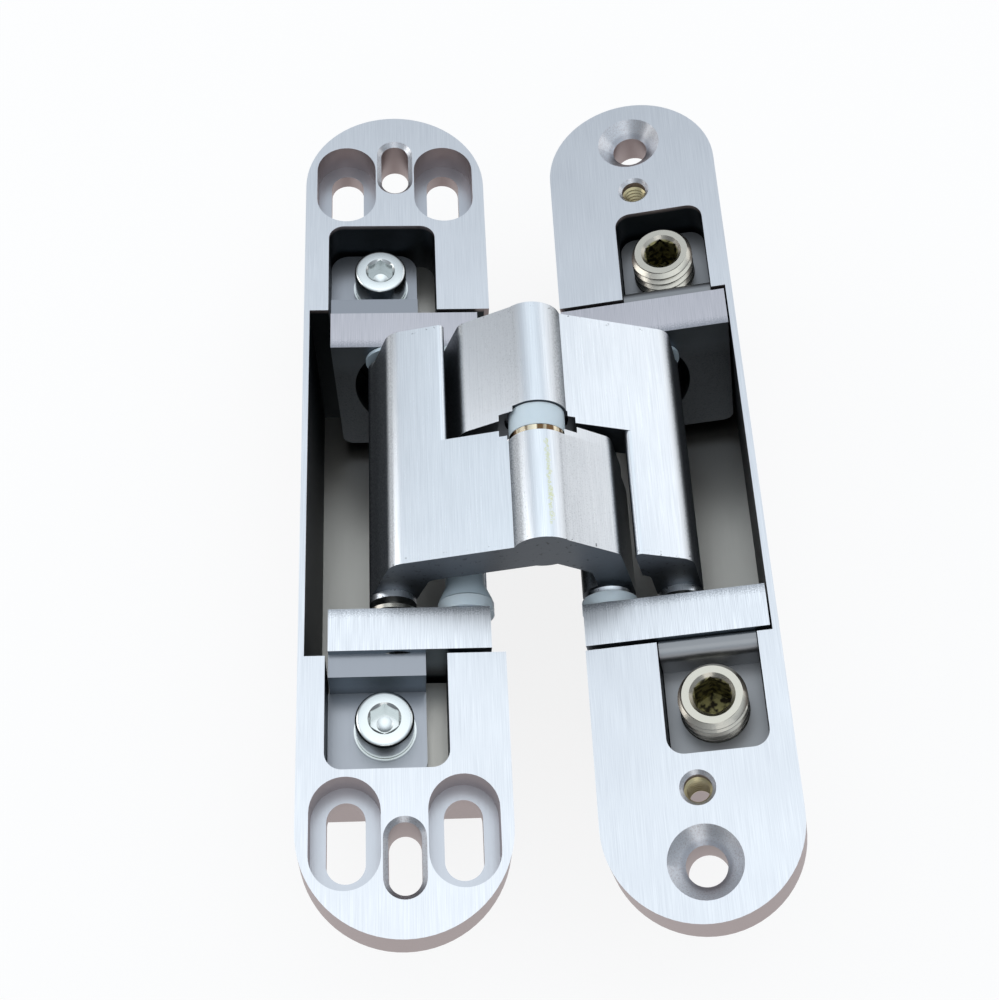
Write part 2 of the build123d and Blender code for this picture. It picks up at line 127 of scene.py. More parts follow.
# the far brackets: the same bracket finish with painted shade, darker faces
zincLooks["shadedFarBracket"] = {**zincLooks["bracket"], "bright": "CFCCD1", "dull": "BDBABF"}
# what the finishes share, lengths in millimetres: the size of the strokes and of the patches, how
# ragged the limit of the brushing is, how strong the strokes show, and how high they stand
stroke = {
    "width": 0.12,
    "run": 9.0,
    "grain": 0.22,
    "clouds": 16.0,
    "cast": 0.7,
    "ragged": 0.55,
    "show": 0.42,
    "streak": 0.16,
    "castHeight": 0.016,
    "strokeHeight": 0.008,
}
# the body's pocket, where its painted shade goes: its walls start this far inside, and below the
# step it is shorter
pocket = {"margin": 0.8, "step": 18.0, "halfAbove": 48.0, "halfBelow": 32.0}


def mathNode(tree, how, *values):
    node = addNode(tree, "ShaderNodeMath", dict(enumerate(values)), operation=how)
    return node.outputs["Value"]


def ramp(tree, value, low, high, bottom=0.0, top=1.0):
    values = {"Value": value, "From Min": low, "From Max": high, "To Min": bottom, "To Max": top}
    return addNode(tree, "ShaderNodeMapRange", values).outputs["Result"]


def mixColour(tree, share, first, second):
    first, second = [fromHex(v) if isinstance(v, str) else v for v in (first, second)]
    mix = addNode(tree, "ShaderNodeMix", {0: share, 6: first, 7: second}, data_type="RGBA")
    return mix.outputs[2]


def noise(tree, vector, size, detail=3.0):
    values = {"Vector": vector, "Scale": 1 / (size * mm), "Detail": detail}
    return addNode(tree, "ShaderNodeTexNoise", values).outputs["Fac"]


# a value that strays by a noise round its middle
def strayed(tree, value, cloud, amount):
    return mathNode(tree, "MULTIPLY_ADD", mathNode(tree, "SUBTRACT", cloud, 0.5), amount, value)


# brings Object coordinates into a body's own frame, by a turn about Y and a shift
def ownFrame(tree, place, own):
    values = {
        "Vector": place.outputs["Object"],
        "Location": [v * mm for v in own[1]],
        "Rotation": (0, math.radians(own[0]), 0),
    }
    return addNode(tree, "ShaderNodeMapping", values).outputs["Vector"]


def brushedZinc(name, kind, own, halfWidth=0.0, marks=()):
    look = zincLooks[kind]
    tilt = math.radians(own[0])
    material, tree, shader = newMaterial(name, {"Metallic": 1.0})
    place = addNode(tree, "ShaderNodeTexCoord")
    local = ownFrame(tree, place, own)
    xyz = addNode(tree, "ShaderNodeSeparateXYZ", {"Vector": local})
    across, along, up = [xyz.outputs[axis] for axis in "XYZ"]
    wide, run = [1 / (stroke[side] * mm) for side in ("width", "run")]
    stretch = addNode(tree, "ShaderNodeMapping", {"Vector": local, "Scale": (wide, run, wide)})
    strokes = addNode(
        tree,
        "ShaderNodeTexNoise",
        {"Vector": stretch.outputs["Vector"], "Scale": 1.0, "Detail": 3.0, "Roughness": 0.65},
    ).outputs["Fac"]
    grain = noise(tree, local, stroke["grain"])
    clouds = noise(tree, local, stroke["clouds"], 2.0)
    cast = noise(tree, local, stroke["cast"], 4.0)

    # how squarely the surface looks the way the belt came from, with a grainy limit; surfaces
    # turned away take the wall tone, partly cast skin and partly painted shade
    upward = (-math.sin(tilt), 0.0, math.cos(tilt))
    facing = addNode(
        tree,
        "ShaderNodeVectorMath",
        {0: place.outputs["Normal"], 1: upward},
        operation="DOT_PRODUCT",
    ).outputs["Value"]
    grainy = strayed(tree, facing, grain, stroke["ragged"])
    reached = ramp(tree, grainy, *look["ramp"])

    # painted shade by depth under the face, and painted shade inside the pocket
    strokeAndSunkShade = ramp(tree, up, -look["sunkShadeFrom"] * mm, -(look["sunkShadeFrom"] + 0.4) * mm)
    pitShade = ramp(tree, up, -look["pitShadeFrom"] * mm, -(look["pitShadeFrom"] + look["pitShadeRun"]) * mm)
    if halfWidth:
        inner = mathNode(tree, "COMPARE", across, 0.0, (halfWidth - pocket["margin"]) * mm)
        top, low = [-(pocket["step"] + away) * mm for away in (-0.5, 0.5)]
        ends = [pocket[half] * mm for half in ("halfAbove", "halfBelow")]
        length = ramp(tree, up, top, low, *ends)
        between = mathNode(tree, "LESS_THAN", mathNode(tree, "ABSOLUTE", along), length)
        notUnder = ramp(tree, facing, -0.9, -0.6)
        for part in (inner, between, notUnder):
            pitShade = mathNode(tree, "MULTIPLY", pitShade, part)
    face = mixColour(tree, clouds, look["dull"], look["bright"])
    shown = ramp(tree, strokes, 0.35, 0.65, 0.0, stroke["show"])
    face = mixColour(tree, shown, face, look["strokeAndSunkShade"])
    # painted shade on recesses below the face, in the same tone the strokes take
    face = mixColour(tree, strokeAndSunkShade, face, look["strokeAndSunkShade"])
    # painted shade inside the pocket: a dull floor and nearly black walls
    face = mixColour(tree, pitShade, face, look["pitShadeFloor"])
    wall = mixColour(tree, pitShade, look["wall"], look["pitShadeWall"])
    # walls and bends take the darker wall tone, partly cast skin and partly painted shade
    colour = mixColour(tree, reached, wall, face)
    for tone, mask in marks:
        colour = mixColour(tree, mask(tree, along, across, grain, cast), colour, tone)

    rough = ramp(tree, reached, 0.0, 1.0, *look["rough"])
    streaked = mathNode(tree, "MULTIPLY_ADD", strokes, stroke["streak"], rough)
    height = addNode(tree, "ShaderNodeMix", {0: reached, 2: cast, 3: strokes})
    heights = [stroke[kind] * mm for kind in ("castHeight", "strokeHeight")]
    depth = ramp(tree, reached, 0.0, 1.0, *heights)
    relief = addNode(
        tree,
        "ShaderNodeBump",
        {"Height": height.outputs[0], "Distance": depth, "Strength": 1.0},
    )
    tree.links.new(colour, shader.inputs["Base Color"])
    tree.links.new(streaked, shader.inputs["Roughness"])
    tree.links.new(relief.outputs["Normal"], shader.inputs["Normal"])
    return material


# painted shade on the bars, darker where the arms stand over them
barShade = {"from": 23.0, "to": 24.4, "ragged": 3.0, "share": 0.75}


def barShadeUnderArms(tree, along, across, grain, cast):
    away = mathNode(tree, "ABSOLUTE", along)
    away = strayed(tree, away, grain, barShade["ragged"] * mm)
    return ramp(tree, away, barShade["from"] * mm, barShade["to"] * mm, barShade["share"], 0.0)


# pores of the casting in the arms' end faces
poreMark = {"from": 18.9, "to": 19.6, "rare": (0.64, 0.69), "share": 0.8}


def pores(tree, along, across, grain, cast):
    away = mathNode(tree, "ABSOLUTE", along)
    atEnd = ramp(tree, away, poreMark["from"] * mm, poreMark["to"] * mm)
    spots = ramp(tree, cast, *poreMark["rare"], 0.0, poreMark["share"])
    return mathNode(tree, "MULTIPLY", atEnd, spots)


# thin yellow-green streak of old grease on the frame arm's barrel
greaseMark = {
    "across": (21.3, 0.30),
    "along": (-11.0, 7.0),
    "wander": 1.6,
    "patchy": (0.40, 0.60),
    "share": 0.75,
}


def grease(tree, along, across, grain, cast):
    wander = strayed(tree, across, cast, greaseMark["wander"] * mm)
    line = mathNode(tree, "COMPARE", wander, *[v * mm for v in greaseMark["across"]])
    reach = mathNode(tree, "COMPARE", along, *[v * mm for v in greaseMark["along"]])
    patchy = ramp(tree, grain, *greaseMark["patchy"], 0.0, greaseMark["share"])
    return mathNode(tree, "MULTIPLY", mathNode(tree, "MULTIPLY", line, reach), patchy)


# steel and zinc without strokes: the eye sees a fine even grain
metalGrain = {"size": 0.25, "height": 0.004}


def plainMetal(name, colour, rough):
    material, tree, shader = newMaterial(
        name, {"Metallic": 1.0, "Base Color": fromHex(colour), "Roughness": rough}
    )
    place = addNode(tree, "ShaderNodeTexCoord")
    grain = noise(tree, place.outputs["Object"], metalGrain["size"])
    values = {"Height": grain, "Distance": metalGrain["height"] * mm}
    relief = addNode(tree, "ShaderNodeBump", values)
    tree.links.new(relief.outputs["Normal"], shader.inputs["Normal"])
    return material


# a darker, blotched brown and olive tone inside the jack screws' hexagons, in the door body's own
# frame
socketTone = {
    "x": 3.4,
    "y": 39.0,
    "radius": 2.95,
    "top": 0.9,
    "bottom": 10.0,
    "blotch": 0.9,
    "tones": ("2E2A22", "9A9468"),
    "rough": 0.5,
}


# darkens the jack screws' hexagons with brown and olive blotches
def toneSockets(material):
    g = socketTone
    tree, shader = material.node_tree, shaderOf(material)
    place = addNode(tree, "ShaderNodeTexCoord")
    local = ownFrame(tree, place, doorOwn)
    xyz = addNode(tree, "ShaderNodeSeparateXYZ", {"Vector": local})
    aside = mathNode(tree, "SUBTRACT", xyz.outputs["X"], g["x"] * mm)
    away = mathNode(tree, "ABSOLUTE", xyz.outputs["Y"])
    away = mathNode(tree, "SUBTRACT", away, g["y"] * mm)
    flat = addNode(tree, "ShaderNodeCombineXYZ", {"X": aside, "Y": away})
    radius = addNode(
        tree, "ShaderNodeVectorMath", {0: flat.outputs["Vector"]}, operation="LENGTH"
    ).outputs["Value"]
    inside = ramp(tree, radius, (g["radius"] + 0.1) * mm, g["radius"] * mm)
    below = ramp(tree, xyz.outputs["Z"], -(g["top"] - 0.2) * mm, -g["top"] * mm)
    above = ramp(tree, xyz.outputs["Z"], -g["bottom"] * mm, -(g["bottom"] - 0.2) * mm)
    between = mathNode(tree, "MULTIPLY", below, above)
    blotch = noise(tree, local, g["blotch"])
    socketBlotch = mixColour(tree, ramp(tree, blotch, 0.42, 0.58), *g["tones"])
    share = mathNode(tree, "MULTIPLY", inside, between)
    baseTone = tuple(shader.inputs["Base Color"].default_value)
    tree.links.new(mixColour(tree, share, baseTone, socketBlotch), shader.inputs["Base Color"])
    rough = shader.inputs["Roughness"].default_value
    tree.links.new(ramp(tree, share, 0.0, 1.0, rough, g["rough"]), shader.inputs["Roughness"])
    return material


# brass ring with brown and cream bands round it
def bandedRing(name):
    material = plainMetal(name, "E9DCBE", 0.24)
    tree, shader = material.node_tree, shaderOf(material)
    place = addNode(tree, "ShaderNodeTexCoord")
    squeeze = addNode(
        tree, "ShaderNodeMapping", {"Vector": place.outputs["Object"], "Scale": (1, 0.1, 1)}
    )
    bands = noise(tree, squeeze.outputs["Vector"], 1.5, 1.0)
    tone = mixColour(tree, ramp(tree, bands, 0.44, 0.5), "6B5238", "EFE3C8")
    tree.links.new(tone, shader.inputs["Base Color"])
    return material


# moulded bush, collars and sleeves: an even grey-blue white, and thin ones let some light in
def plainPlastic(name, colour, rough, thin=0.0):
    material, tree, shader = newMaterial(
        name, {"Base Color": fromHex(colour), "Roughness": rough, "IOR": 1.53}
    )
    shader.inputs["Subsurface Weight"].default_value = thin
    shader.inputs["Subsurface Radius"].default_value = (0.8 * mm, 0.9 * mm, 1.0 * mm)
    shader.inputs["Subsurface Scale"].default_value = 1.0
    return material


# turn about Y in degrees and shift in millimetres into each body's own frame
frameOwn = (0.0, (0, 0, 0))
doorOwn = (doorTilt, (-39.776, 0, 6.525))
halfWidths = {"frame": 15, "door": 14}
# the brackets' painted shade under the arms
shadedUnderArms = (("7C8087", barShadeUnderArms),)
marked = (("3A3C3F", pores), ("D5D79B", grease))
zinc = "chromed zinc, brushed, "
finishes = {
    "frameZinc": brushedZinc(zinc + "frame body", "body", frameOwn, halfWidths["frame"]),
    "doorZinc": brushedZinc(zinc + "door body", "body", doorOwn, halfWidths["door"]),
    "armZinc": brushedZinc(zinc + "arms", "arm", frameOwn, marks=marked),
    "bracketZinc": brushedZinc(zinc + "brackets", "bracket", frameOwn, marks=shadedUnderArms),
    "doorBracketZinc": brushedZinc(zinc + "door brackets", "bracket", doorOwn, marks=shadedUnderArms),
    "shadedFarBracketZinc": brushedZinc(zinc + "far brackets, painted shade", "shadedFarBracket", frameOwn, marks=shadedUnderArms),
    "shadedFarDoorBracketZinc": brushedZinc(
        zinc + "far door bracket, painted shade", "shadedFarBracket", doorOwn, marks=shadedUnderArms
    ),
    "plated": plainMetal("steel, bright zinc plated", "D5D9D8", 0.22),
    "plainSteel": plainMetal("mild steel, bent, bare", "8E8F91", 0.38),
    "turnedSteel": plainMetal("steel, turned", "B9B4AA", 0.26),
    "jackSteel": toneSockets(plainMetal("steel, turned, blotched in the hexagons", "C4BFB3", 0.26)),
    "nylon": plainPlastic("nylon, natural", "CCD8DE", 0.42, 0.3),
    "sleeve": plainPlastic("acetal, grey-blue, moulded", "B7C6CE", 0.4),
    "brass": bandedRing("brass, turned"),
    "thread": plainMetal("zinc, tapped thread, yellowish", "B9AE8A", 0.34),
}

nodeFinish = {
    "frame_housing": "frameZinc",
    "door_housing": "doorZinc",
    "frame_arm": "armZinc",
    "door_arm": "armZinc",
    "frame_near_bracket": "bracketZinc",
    "frame_far_bracket": "shadedFarBracketZinc",
    "door_near_bracket": "doorBracketZinc",
    "door_far_bracket": "shadedFarDoorBracketZinc",
    "door_near_foot": "plainSteel",
    "door_far_foot": "plainSteel",
    "knuckle_ring": "brass",
    "frame_far_slide_washer": "sleeve",
    "door_far_slide_washer": "sleeve",
}
for name, node in nodes.items():
    if name in nodeFinish:
        finish = nodeFinish[name]
    elif "clamp_screw" in name or name.endswith("near_washer") or name.endswith("far_washer"):
        finish = "plated" if "slide" not in name else "turnedSteel"
    elif "collar" in name or "slider" in name or "bush" in name:
        finish = "nylon"
    else:
        finish = "turnedSteel"
    for n in range(len(node.data.materials)):
        node.data.materials[n] = finishes[finish]
print("finishes set")


def deselectAll():
    bpy.ops.object.select_all(action="DESELECT")


def only(piece):
    deselectAll()
    piece.select_set(True)
    bpy.context.view_layer.objects.active = piece


def coat(piece, finish):
    piece.data.materials.clear()
    piece.data.materials.append(finishes[finish])


def editAll():
    bpy.ops.object.mode_set(mode="EDIT")
    bpy.ops.mesh.select_all(action="SELECT")


def editDone():
    bpy.ops.object.mode_set(mode="OBJECT")


mergeReach = 0.002
smoothUpTo = math.radians(32)
threadSteps = 48


# draws a line in the XZ plane, point by point, in millimetres
def drawLine(name, line):
    deselectAll()
    bpy.ops.mesh.primitive_plane_add(size=mm)
    piece = bpy.context.object
    piece.name = name
    bpy.ops.object.mode_set(mode="EDIT")
    bpy.ops.mesh.merge(type="CENTER")
    bpy.ops.transform.translate(value=(line[0][0] * mm, 0, line[0][1] * mm))
    for a, b in zip(line, line[1:]):
        step = ((b[0] - a[0]) * mm, 0, (b[1] - a[1]) * mm)
        bpy.ops.mesh.extrude_region_move(TRANSFORM_OT_translate={"value": step})
    bpy.ops.object.mode_set(mode="OBJECT")
    return piece


def tidyMesh(piece):
    only(piece)
    editAll()
    bpy.ops.mesh.remove_doubles(threshold=mergeReach * mm)
    bpy.ops.mesh.normals_make_consistent(inside=False)
    editDone()


# turns a line round the Z axis, as on a lathe
def lathe(name, line, steps=64):
    piece = drawLine(name, line)
    editAll()
    bpy.ops.mesh.spin(steps=steps, angle=2 * math.pi, center=(0, 0, 0), axis=(0, 0, 1))
    editDone()
    tidyMesh(piece)
    return piece


def applyAll(piece):
    only(piece)
    for modifier in list(piece.modifiers):
        bpy.ops.object.modifier_apply(modifier=modifier.name)


def carve(piece, tool, how="DIFFERENCE"):
    cut = piece.modifiers.new("cut", "BOOLEAN")
    cut.operation = how
    cut.solver = "EXACT"
    cut.object = tool
    applyAll(piece)
    only(tool)
    bpy.ops.object.delete()


# winds a line up the Z axis from z = 0
def windUp(piece, pitch, turns):
    wind = piece.modifiers.new("wind", "SCREW")
    wind.axis = "Z"
    wind.screw_offset = pitch * mm
    wind.iterations = turns
    wind.steps = threadSteps
    wind.render_steps = threadSteps
    applyAll(piece)


def hexTool(across, height, top):
    deselectAll()
    bpy.ops.mesh.primitive_cylinder_add(
        vertices=6,
        radius=across / math.sqrt(3) * mm,
        depth=height * mm,
        location=(0, 0, (top - height / 2) * mm),
    )
    return bpy.context.object


# sets a piece in place, with its own object back at the origin
def setDown(piece, spot, tilt=0.0):
    only(piece)
    piece.location = [v * mm for v in spot]
    piece.rotation_euler = (0, -math.radians(tilt), 0)
    bpy.ops.object.transform_apply(location=True, rotation=True, scale=True)
    bpy.ops.object.shade_smooth_by_angle(angle=smoothUpTo)


def copyOf(piece, name):
    twin = piece.copy()
    twin.data = piece.data.copy()
    twin.name = name
    bpy.context.collection.objects.link(twin)
    return twin


# socket cap screws of the frame brackets, head up, with the drill point in the hexagon's floor
capScrew = {
    "x": -2.65,
    "y": 39.4,
    "top": -1.65,
    "head": 4.25,
    "height": 5.0,
    "hexagon": 4.0,
    "depth": 2.5,
    "shank": 2.5,
    "length": 9.75,
    "drill": 1.2,
}
c = capScrew
headLine = [
    (0, 0),
    (c["head"] - 0.62, 0),
    (c["head"] - 0.28, -0.10),
    (c["head"] - 0.06, -0.34),
    (c["head"], -0.62),
    (c["head"], -c["height"] + 0.15),
    (c["head"] - 0.15, -c["height"]),
    (c["shank"], -c["height"]),
    (c["shank"], -c["height"] - c["length"] + 0.4),
    (c["shank"] - 0.4, -c["height"] - c["length"]),
    (0, -c["height"] - c["length"]),
]
nearCap = lathe("nearCapScrew", headLine, 72)
carve(nearCap, hexTool(c["hexagon"], c["depth"] + 1, 1.0))
mouth = c["hexagon"] / math.sqrt(3)
carve(nearCap, lathe("mouthCone", [(0, 1), (mouth + 1.1, 1), (0, -mouth - 0.1)]))
floorEdge = (c["drill"], -c["depth"] - 0.03)
dimpleLine = [(0, -2), (c["drill"], -2), floorEdge, (0, -c["depth"] - 0.6)]
carve(nearCap, lathe("dimple", dimpleLine))
farCap = copyOf(nearCap, "farCapScrew")
for piece, way, node in (
    (nearCap, -1, "frame_near_clamp_screw"),
    (farCap, 1, "frame_far_clamp_screw"),
):
    setDown(piece, (c["x"], way * c["y"], c["top"]))
    coat(piece, "plated")
    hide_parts(node)
    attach(piece, "frame_housing")
print("cap screws made")


# hollow jack screws of the door body: 10 mm thread, 1.5 mm pitch, chamfered rim, deep hexagon
jackScrew = {
    "x": 3.4,
    "y": 39.0,
    "top": -0.3,
    "outer": 5.0,
    "core": 4.25,
    "pitch": 1.5,
    "thread": 11.2,
    "chamfer": 0.65,
    "journal": 2.5,
    "ledge": 4.1,
    "peen": 3.8,
    "peenHeight": 1.0,
    "hexagon": 5.0,
    "depth": 7.0,
    "rim": 0.8,
}
j = jackScrew
doorCentre = (40.2, 2.9407)


# from the door body's own frame to the shared one
def fromDoor(x, z):
    a = math.radians(doorTilt)
    return (
        doorCentre[0] + x * math.cos(a) - z * math.sin(a),
        doorCentre[1] + x * math.sin(a) + z * math.cos(a),
    )


turns = math.ceil(j["thread"] / j["pitch"]) + 2
middle, flat = j["pitch"] / 2, j["pitch"] / 8
threadLine = [
    (j["outer"], 0),
    (j["outer"], flat),
    (j["core"], middle - flat / 2),
    (j["core"], middle + flat / 2),
    (j["outer"], j["pitch"]),
]
nearJack = drawLine("nearJackScrew", threadLine)
windUp(nearJack, j["pitch"], turns)
tidyMesh(nearJack)
nearJack.location = (0, 0, -(turns - 0.6) * j["pitch"] * mm)
bpy.ops.object.transform_apply(location=True, rotation=False, scale=False)
# cut flat a little past both ends, and then trimmed by its blank
for height, way in ((0.2, 1), (-j["thread"] - 0.2, -1)):
    editAll()
    bpy.ops.mesh.bisect(
        plane_co=(0, 0, height * mm), plane_no=(0, 0, way), use_fill=True, clear_outer=True
    )
    editDone()
tidyMesh(nearJack)
end = -j["thread"]
blank = lathe(
    "blank",
    [
        (0, 0),
        (j["outer"] - j["chamfer"], 0),
        (j["outer"], -j["chamfer"]),
        (j["outer"], end + 0.5),
        (j["outer"] - 0.5, end),
        (0, end),
    ],
)
carve(nearJack, blank, "INTERSECT")
bore = lathe(
    "bore",
    [
        (0, 0.5),
        (j["hexagon"] / 2 + j["rim"] + 0.5, 0.5),
        (j["hexagon"] / 2, -j["rim"]),
        (0, -j["rim"]),
    ],
)
carve(nearJack, bore)
carve(nearJack, hexTool(j["hexagon"], j["depth"] + 1, 1.0))
foot = lathe(
    "jackFoot",
    [
        (0, end),
        (j["journal"], end),
        (j["journal"], end - j["ledge"]),
        (j["peen"] - 0.3, end - j["ledge"]),
        (j["peen"], end - j["ledge"] - 0.3),
        (j["peen"] - 0.5, end - j["ledge"] - j["peenHeight"]),
        (0, end - j["ledge"] - j["peenHeight"]),
    ],
)
only(nearJack)
foot.select_set(True)
bpy.ops.object.join()
farJack = copyOf(nearJack, "farJackScrew")
for piece, way, side in ((nearJack, -1, "near"), (farJack, 1, "far")):
    x, z = fromDoor(j["x"], j["top"])
    setDown(piece, (x, way * j["y"], z), doorTilt)
    coat(piece, "jackSteel")
    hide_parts("door_" + side + "_jack_screw")
    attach(piece, side + "_jack")
print("jack screws made")


# The arms' plates reach nearly to each other in the middle, and are cut back only beside the bush
# and round the lugs, where the sleeves turn. The solids' plates end at the plane, half of the gap
# is left on each side, and the barrel is the knuckle's place in X and Z.
armGap = {
    "plane": 2.5,
    "half": 0.6,
    "barrel": (20.4, 11.5),
    "round": 4.75,
    "notch": 5.7,
    "notchEnd": 1.6,
    "overlap": 0.3,
    "lugTop": 1.5,
    "reach": 40,
    "below": (-12, -20),
    "above": 25,
}
fullArms = {}


def blockTool(low, high):
    deselectAll()
    middle = [(a + b) / 2 * mm for a, b in zip(low, high)]
    bpy.ops.mesh.primitive_cube_add(size=1, location=middle)
    tool = bpy.context.object
    tool.dimensions = [(b - a) * mm for a, b in zip(low, high)]
    bpy.ops.object.transform_apply(location=True, rotation=False, scale=True)
    return tool


for node, way in (("frame_arm", -1), ("door_arm", 1)):
    g = armGap
    arm = copyOf(nodes[node], node.split("_")[0] + "FullArm")
    arm.parent = None
    arm.matrix_world = nodes[node].matrix_world
    only(arm)
    bpy.ops.object.transform_apply(location=True, rotation=True, scale=True)
    bpy.ops.mesh.customdata_custom_splitnormals_clear()
    tidyMesh(arm)
    bpy.ops.object.mode_set(mode="EDIT")
    bpy.ops.mesh.select_mode(type="FACE")
    bpy.ops.mesh.select_all(action="DESELECT")
    bpy.ops.object.mode_set(mode="OBJECT")
    for face in arm.data.polygons:
        level = face.center.y / mm - way * g["plane"]
        face.select = abs(level) < 0.01 and face.normal.y * way < -0.9
    bpy.ops.object.mode_set(mode="EDIT")
    reach = -way * (g["plane"] - g["half"]) * mm
    bpy.ops.mesh.extrude_region_move(TRANSFORM_OT_translate={"value": (0, reach, 0)})
    bpy.ops.mesh.select_mode(type="VERT")
    bpy.ops.object.mode_set(mode="OBJECT")
    ends = sorted((way * (g["plane"] - 0.02), way * g["overlap"]))
    near, far = sorted((way * g["notchEnd"], way * g["overlap"]))
    left, right = g["barrel"][0] - g["notch"], g["barrel"][0] + g["notch"]
    carve(arm, blockTool((left, near, g["below"][0]), (right, far, g["above"])))
    deselectAll()
    bpy.ops.mesh.primitive_cylinder_add(
        vertices=64,
        radius=g["round"] * mm,
        depth=(ends[1] - ends[0]) * mm,
        location=(g["barrel"][0] * mm, (ends[0] + ends[1]) / 2 * mm, g["barrel"][1] * mm),
        rotation=(math.pi / 2, 0, 0),
    )
    carve(arm, bpy.context.object)
    left, right = sorted((g["barrel"][0], g["barrel"][0] - way * g["reach"]))
    carve(arm, blockTool((left, ends[0], g["below"][1]), (right, ends[1], g["lugTop"])))
    tidyMesh(arm)
    bpy.ops.object.shade_smooth_by_angle(angle=smoothUpTo)
    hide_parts(node)
    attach(arm, node)
    fullArms[node] = arm
print("arms made")


# sleeve on each fixed pin, flared like a cone towards its collar
sleeve = {
    "y": 20.9,
    "rim": 4.0,
    "lip": 0.35,
    "cone": 2.6,
    "radius": 3.0,
    "length": 23.3,
    "bore": 2.25,
}
s = sleeve
sleeveLine = [
    (0, 0),
    (s["rim"], 0),
    (s["rim"], s["lip"]),
    (s["radius"], s["cone"]),
    (s["radius"], s["length"]),
    (0, s["length"]),
]
boreLine = [(0, -1), (s["bore"], -1), (s["bore"], s["length"] + 1), (0, s["length"] + 1)]
for side, way in (("frame", -1), ("door", 1)):
    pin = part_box(side + "_pivot_pin")
    spot = [(pin[0][n] + pin[1][n]) / 2 for n in (0, 2)]
    piece = lathe(side + "Sleeve", sleeveLine, 48)
    carve(piece, lathe("bore", boreLine, 48))
    only(piece)
    piece.rotation_euler = (way * math.pi / 2, 0, 0)
    piece.location = (spot[0], way * s["y"] * mm, spot[1])
    bpy.ops.object.transform_apply(location=True, rotation=True, scale=True)
    bpy.ops.object.shade_smooth_by_angle(angle=smoothUpTo)
    coat(piece, "sleeve")
    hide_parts(side + "_pin_sleeve")
    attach(piece, side + "_carriage")
print("sleeves made")


# threads of the door body's small tapped holes, a ridge wound up the wall that leaves them open
tapped = {"y": 52.35, "radius": 2.03, "core": 1.62, "pitch": 0.8, "depth": 7.5, "mouth": 0.6}
t = tapped
for side, way in (("near", -1), ("far", 1)):
    half = t["pitch"] / 2
    ridge = drawLine(
        side + "TappedThread",
        [
            (t["radius"], 0.03),
            (t["core"], half - 0.06),
            (t["core"], half + 0.06),
            (t["radius"], t["pitch"] - 0.03),
        ],
    )
    editAll()
    bpy.ops.mesh.edge_face_add()
    bpy.ops.mesh.delete(type="ONLY_FACE")
    editDone()
    windUp(ridge, t["pitch"], math.floor((t["depth"] - t["mouth"]) / t["pitch"]) - 1)
    editAll()
    bpy.ops.mesh.fill_holes(sides=4)
    editDone()
    tidyMesh(ridge)
    ridge.location = (0, 0, (0.1 - t["depth"]) * mm)
    bpy.ops.object.transform_apply(location=True, rotation=False, scale=False)
    x, z = fromDoor(0, 0)
    setDown(ridge, (x, way * t["y"], z), doorTilt)
    coat(ridge, "thread")
    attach(ridge, "door_housing")
print("threads made")


# camera as solved from the photograph, in the frame body's own frame
cameraSolved = {
    "place": (0.819 * mm, -120.263 * mm, 210.227 * mm),
    "right": (0.99807, -0.043728, 0.044092),
    "down": (-0.01718, -0.876756, -0.480628),
    "ahead": (0.059675, 0.478943, -0.875815),
    "pixels": 1577.166,
    "picture": 1000,
    "film": 36.0,
}
camera = bpy.data.objects.new("camera", bpy.data.cameras.new("camera"))
bpy.context.collection.objects.link(camera)
right = Vector(cameraSolved["right"])
up = -Vector(cameraSolved["down"])
back = -Vector(cameraSolved["ahead"])
turned = Matrix((right, up, back)).transposed().to_4x4()
camera.matrix_world = Matrix.Translation(cameraSolved["place"]) @ turned
camera.data.sensor_width = cameraSolved["film"]
camera.data.lens = cameraSolved["film"] * cameraSolved["pixels"] / cameraSolved["picture"]
camera.data.clip_start = 0.01
bpy.context.scene.camera = camera

# white paper floor under the hinge, with the open white of the photograph behind it
studio = {
    "floorHeight": -35.05 * mm,
    "floorSide": 3.0,
    "middle": (0.02, 0, 0),
    "paper": "F4F4F4",
    "glow": 0.85,
    "sky": {0.0: "4A4C50", 0.45: "74787D", 0.74: "B2B9C1", 0.89: "E2EBF2", 1.0: "F8FCFF"},
    "skyLevel": 1.65,
    "lamps": {
        "leftBox": ((-0.85, 0.20, 0.45), 0.60, 2.2),
        "rightBox": ((0.75, 0.45, 0.40), 0.70, 1.2),
        "frontFill": ((0.05, -0.85, 0.45), 0.50, 0.8),
    },
}
deselectAll()
middle = Vector(studio["middle"])
bpy.ops.mesh.primitive_plane_add(
    size=studio["floorSide"], location=(middle.x, middle.y, studio["floorHeight"])
)
floor = bpy.context.object
floor.name = "floor"
paper, tree, shader = newMaterial(
    "paper, white", {"Base Color": fromHex(studio["paper"]), "Roughness": 0.9}
)
# the lit paper reads as the open white of the photograph, also where the metal mirrors it
seen = addNode(tree, "ShaderNodeLightPath")
straight = mathNode(tree, "MAXIMUM", seen.outputs["Is Camera Ray"], seen.outputs["Is Glossy Ray"])
share = mathNode(tree, "MULTIPLY", straight, studio["glow"])
glow = addNode(tree, "ShaderNodeEmission", {"Color": (1, 1, 1, 1), "Strength": 1.0})
blend = addNode(
    tree,
    "ShaderNodeMixShader",
    {0: share, 1: shader.outputs["BSDF"], 2: glow.outputs["Emission"]},
)
output = [n for n in tree.nodes if n.type == "OUTPUT_MATERIAL"][0]
tree.links.new(blend.outputs["Shader"], output.inputs["Surface"])
floor.data.materials.append(paper)

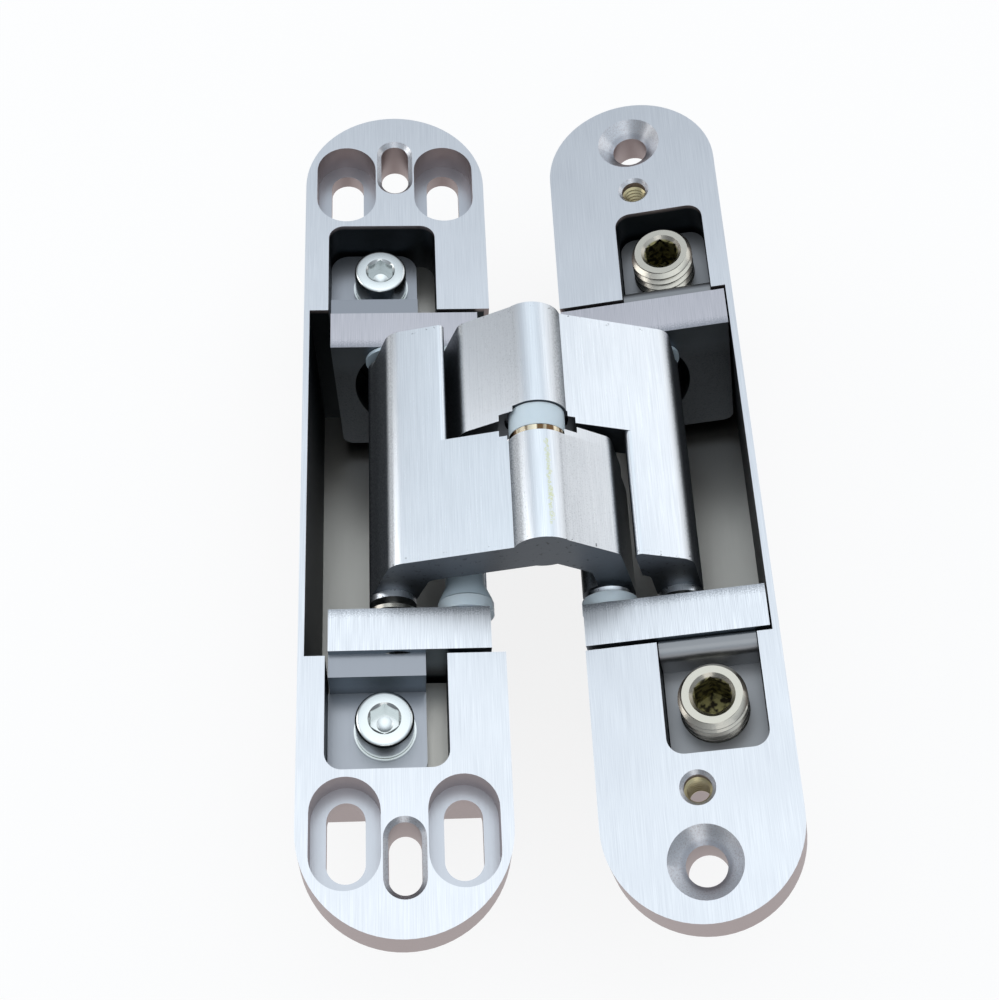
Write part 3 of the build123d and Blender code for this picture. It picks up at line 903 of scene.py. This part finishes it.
world = bpy.data.worlds.new("studio")
bpy.context.scene.world = world
world.use_nodes = True
tree = world.node_tree
tree.nodes.clear()
seen = addNode(tree, "ShaderNodeLightPath")
way = addNode(tree, "ShaderNodeTexCoord")
parts = addNode(tree, "ShaderNodeSeparateXYZ", {"Vector": way.outputs["Generated"]})
sky = addNode(tree, "ShaderNodeValToRGB", {"Fac": parts.outputs["Z"]})
for n, (height, tone) in enumerate(studio["sky"].items()):
    stop = sky.color_ramp.elements[n] if n < 2 else sky.color_ramp.elements.new(height)
    stop.position = height
    stop.color = fromHex(tone)
values = {"Color": sky.outputs["Color"], "Strength": studio["skyLevel"]}
soft = addNode(tree, "ShaderNodeBackground", values)
white = addNode(tree, "ShaderNodeBackground", {"Color": (1, 1, 1, 1), "Strength": 1.0})
either = addNode(
    tree,
    "ShaderNodeMixShader",
    {
        0: seen.outputs["Is Camera Ray"],
        1: soft.outputs["Background"],
        2: white.outputs["Background"],
    },
)
addNode(tree, "ShaderNodeOutputWorld", {"Surface": either.outputs["Shader"]})

for lampName, (spot, side, power) in studio["lamps"].items():
    lamp = bpy.data.objects.new(lampName, bpy.data.lights.new(lampName, "AREA"))
    bpy.context.collection.objects.link(lamp)
    lamp.data.shape = "SQUARE"
    lamp.data.size = side
    lamp.data.energy = power
    lamp.location = spot
    aim = middle - Vector(spot)
    lamp.rotation_euler = aim.to_track_quat("-Z", "Y").to_euler()
bpy.context.scene.view_settings.view_transform = "Standard"
print("studio set")

# a fine edge break on the castings and plates, as the linishing belt leaves
edgeBreaks = {
    "frame_housing": 0.18,
    "door_housing": 0.18,
    "frame_arm": 0.3,
    "door_arm": 0.3,
    "frame_near_bracket": 0.15,
    "frame_far_bracket": 0.15,
    "door_near_bracket": 0.15,
    "door_far_bracket": 0.15,
    "door_near_foot": 0.12,
    "door_far_foot": 0.12,
}
for name, width in edgeBreaks.items():
    bevel = fullArms.get(name, nodes[name]).modifiers.new("edge break", "BEVEL")
    bevel.width = width * mm
    bevel.segments = 2
    bevel.limit_method = "ANGLE"
    bevel.angle_limit = math.radians(35)
print("edges broken")

print("scene ready")
